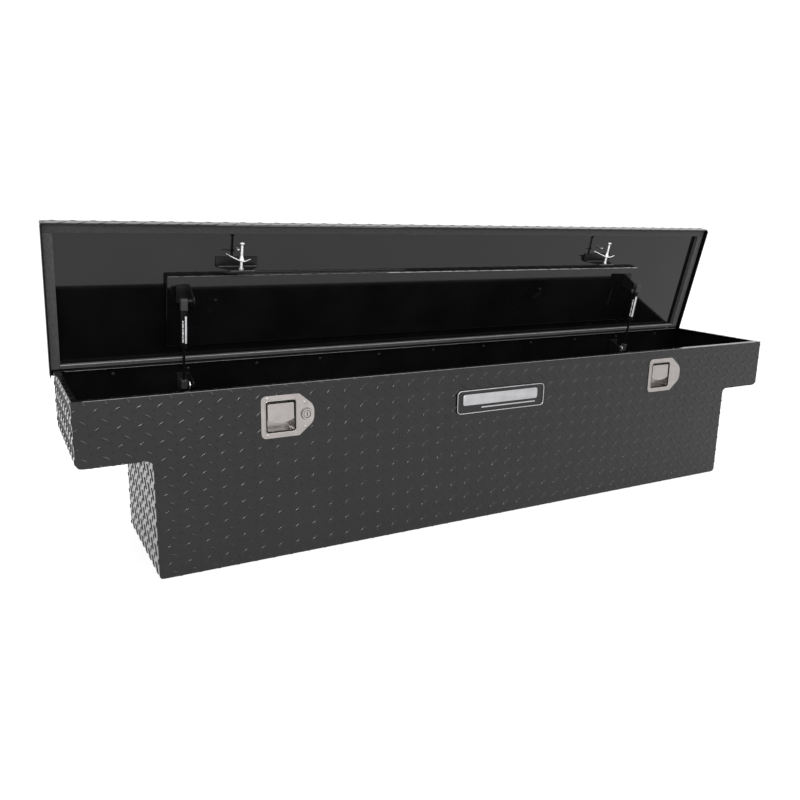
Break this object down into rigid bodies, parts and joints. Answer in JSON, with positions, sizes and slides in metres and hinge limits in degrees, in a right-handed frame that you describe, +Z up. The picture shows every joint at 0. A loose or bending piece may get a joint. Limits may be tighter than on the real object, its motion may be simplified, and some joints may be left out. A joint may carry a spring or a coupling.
{
  "type": "truck tool box",
  "caption": "Crossover pickup-bed tool box of black tread plate, with wings that rest on the bed rails and a one-piece lid held up by gas struts.",
  "frame": {"origin": "centre of the underside of the base, on the floor pan", "axes": "+X to the right along the length, -Y towards the latches at the front, +Z up"},
  "size_m": [1.792, 0.3284, 0.6589],
  "materials": {
    "black_plate": "gloss black coated tread plate",
    "stainless": "satin stainless",
    "zinc": "bright zinc plated",
    "black_steel": "black coated steel",
    "foam": "matte foam",
    "nylon": "dark grey nylon",
    "badge": "plain black plate with a silver border"
  },
  "bodies": {
    "box": {"front_panel": "black_plate", "rear_panel": "black_plate", "left_end_wrap": "black_plate", "right_end_wrap": "black_plate", "floor_pan": "black_plate", "body_hinge_leaf": "black_steel", "hinge_pin": "zinc", "badge": "badge", "lock_barrel": "zinc", "lock_nut": "zinc", "left_body_strut_bracket": "black_steel", "left_body_ball_stud": "zinc", "left_latch_dish": "stainless", "left_latch_plate": "stainless", "left_paddle_pin": "zinc", "left_paddle_spring": "zinc", "left_latch_housing": "black_steel", "left_hook_pin": "zinc", "right_body_strut_bracket": "black_steel", "right_body_ball_stud": "zinc", "right_latch_dish": "stainless", "right_latch_plate": "stainless", "right_paddle_pin": "zinc", "right_paddle_spring": "zinc", "right_latch_housing": "black_steel", "right_hook_pin": "zinc"},
    "lid": {"lid_panel": "black_plate", "lid_hinge_leaf": "black_steel", "front_seal": "foam", "left_seal": "foam", "right_seal": "foam", "rear_seal": "foam", "lid_stiffener": "black_plate", "left_striker_bracket": "black_steel", "left_striker_pin": "zinc", "left_popup_spring": "zinc", "left_lid_strut_bracket": "black_steel", "left_lid_ball_stud": "black_steel", "right_striker_bracket": "black_steel", "right_striker_pin": "zinc", "right_popup_spring": "zinc", "right_lid_strut_bracket": "black_steel", "right_lid_ball_stud": "black_steel"},
    "left_rod": {"left_strut_foot_socket": "nylon", "left_strut_rod": "zinc"},
    "left_tube": {"left_strut_tube": "black_steel", "left_strut_top_socket": "nylon"},
    "left_paddle_body": {"left_paddle": "stainless"},
    "left_hook": {"left_latch_hook": "zinc"},
    "left_release": {"left_release_arm": "zinc"},
    "right_rod": {"right_strut_foot_socket": "nylon", "right_strut_rod": "zinc"},
    "right_tube": {"right_strut_tube": "black_steel", "right_strut_top_socket": "nylon"},
    "right_paddle_body": {"right_paddle": "stainless"},
    "right_hook": {"right_latch_hook": "zinc"},
    "right_release": {"right_release_arm": "zinc"},
    "lock": {"lock_plug": "stainless", "lock_cam": "zinc"}
  },
  "joints": [
    {"name": "lid_hinge", "type": "hinge", "parent": "box", "child": "lid", "pos_m": [0, 0.1536, 0.355], "axis": [-1, 0, 0], "range_deg": [-76.5, 0], "stiffness_Nm_per_rad": 2, "springref_deg": 103.13},
    {"name": "left_strut_pivot", "type": "hinge", "parent": "box", "child": "left_rod", "pos_m": [-0.636, 0.112, 0.3135], "axis": [-1, 0, 0], "range_deg": [-82.5, 0]},
    {"name": "left_strut_slide", "type": "slide", "parent": "left_rod", "child": "left_tube", "axis": [0, -0.1859, 0.9826], "range_m": [-0.073, 0]},
    {"name": "left_paddle_hinge", "type": "hinge", "parent": "box", "child": "left_paddle_body", "pos_m": [-0.511, -0.1435, 0.3165], "axis": [-1, 0, 0], "range_deg": [0, 40], "stiffness_Nm_per_rad": 0.1, "springref_deg": -8.59},
    {"name": "left_release_pivot", "type": "hinge", "parent": "box", "child": "left_release", "pos_m": [-0.5345, -0.1195, 0.29], "axis": [1, 0, 0], "range_deg": [0, 20.5]},
    {"name": "left_hook_pivot", "type": "hinge", "parent": "box", "child": "left_hook", "pos_m": [-0.495, -0.1057, 0.315], "axis": [0, 1, 0], "range_deg": [-50, 0], "stiffness_Nm_per_rad": 0.05, "springref_deg": 22.92},
    {"name": "right_strut_pivot", "type": "hinge", "parent": "box", "child": "right_rod", "pos_m": [0.636, 0.112, 0.3135], "axis": [-1, 0, 0], "range_deg": [-82.5, 0]},
    {"name": "right_strut_slide", "type": "slide", "parent": "right_rod", "child": "right_tube", "axis": [0, -0.1859, 0.9826], "range_m": [-0.073, 0]},
    {"name": "right_paddle_hinge", "type": "hinge", "parent": "box", "child": "right_paddle_body", "pos_m": [0.511, -0.1435, 0.3165], "axis": [-1, 0, 0], "range_deg": [0, 40], "stiffness_Nm_per_rad": 0.1, "springref_deg": -8.59},
    {"name": "right_release_pivot", "type": "hinge", "parent": "box", "child": "right_release", "pos_m": [0.4875, -0.1195, 0.29], "axis": [1, 0, 0], "range_deg": [0, 20.5]},
    {"name": "right_hook_pivot", "type": "hinge", "parent": "box", "child": "right_hook", "pos_m": [0.527, -0.1057, 0.315], "axis": [0, 1, 0], "range_deg": [-50, 0], "stiffness_Nm_per_rad": 0.05, "springref_deg": 22.92},
    {"name": "lock_turn", "type": "hinge", "parent": "box", "child": "lock", "pos_m": [-0.458, -0.15, 0.294], "axis": [0, 1, 0], "range_deg": [0, 90]}
  ],
  "couplings": [
    {"joint": "left_strut_pivot", "follows": "lid_hinge", "ratio": 1.0332},
    {"joint": "left_strut_slide", "follows": "lid_hinge", "m_per_rad": 0.054272},
    {"joint": "left_release_pivot", "follows": "left_paddle_hinge", "ratio": 0.5},
    {"joint": "right_strut_pivot", "follows": "lid_hinge", "ratio": 1.0332},
    {"joint": "right_strut_slide", "follows": "lid_hinge", "m_per_rad": 0.054272},
    {"joint": "right_release_pivot", "follows": "right_paddle_hinge", "ratio": 0.5}
  ]
}
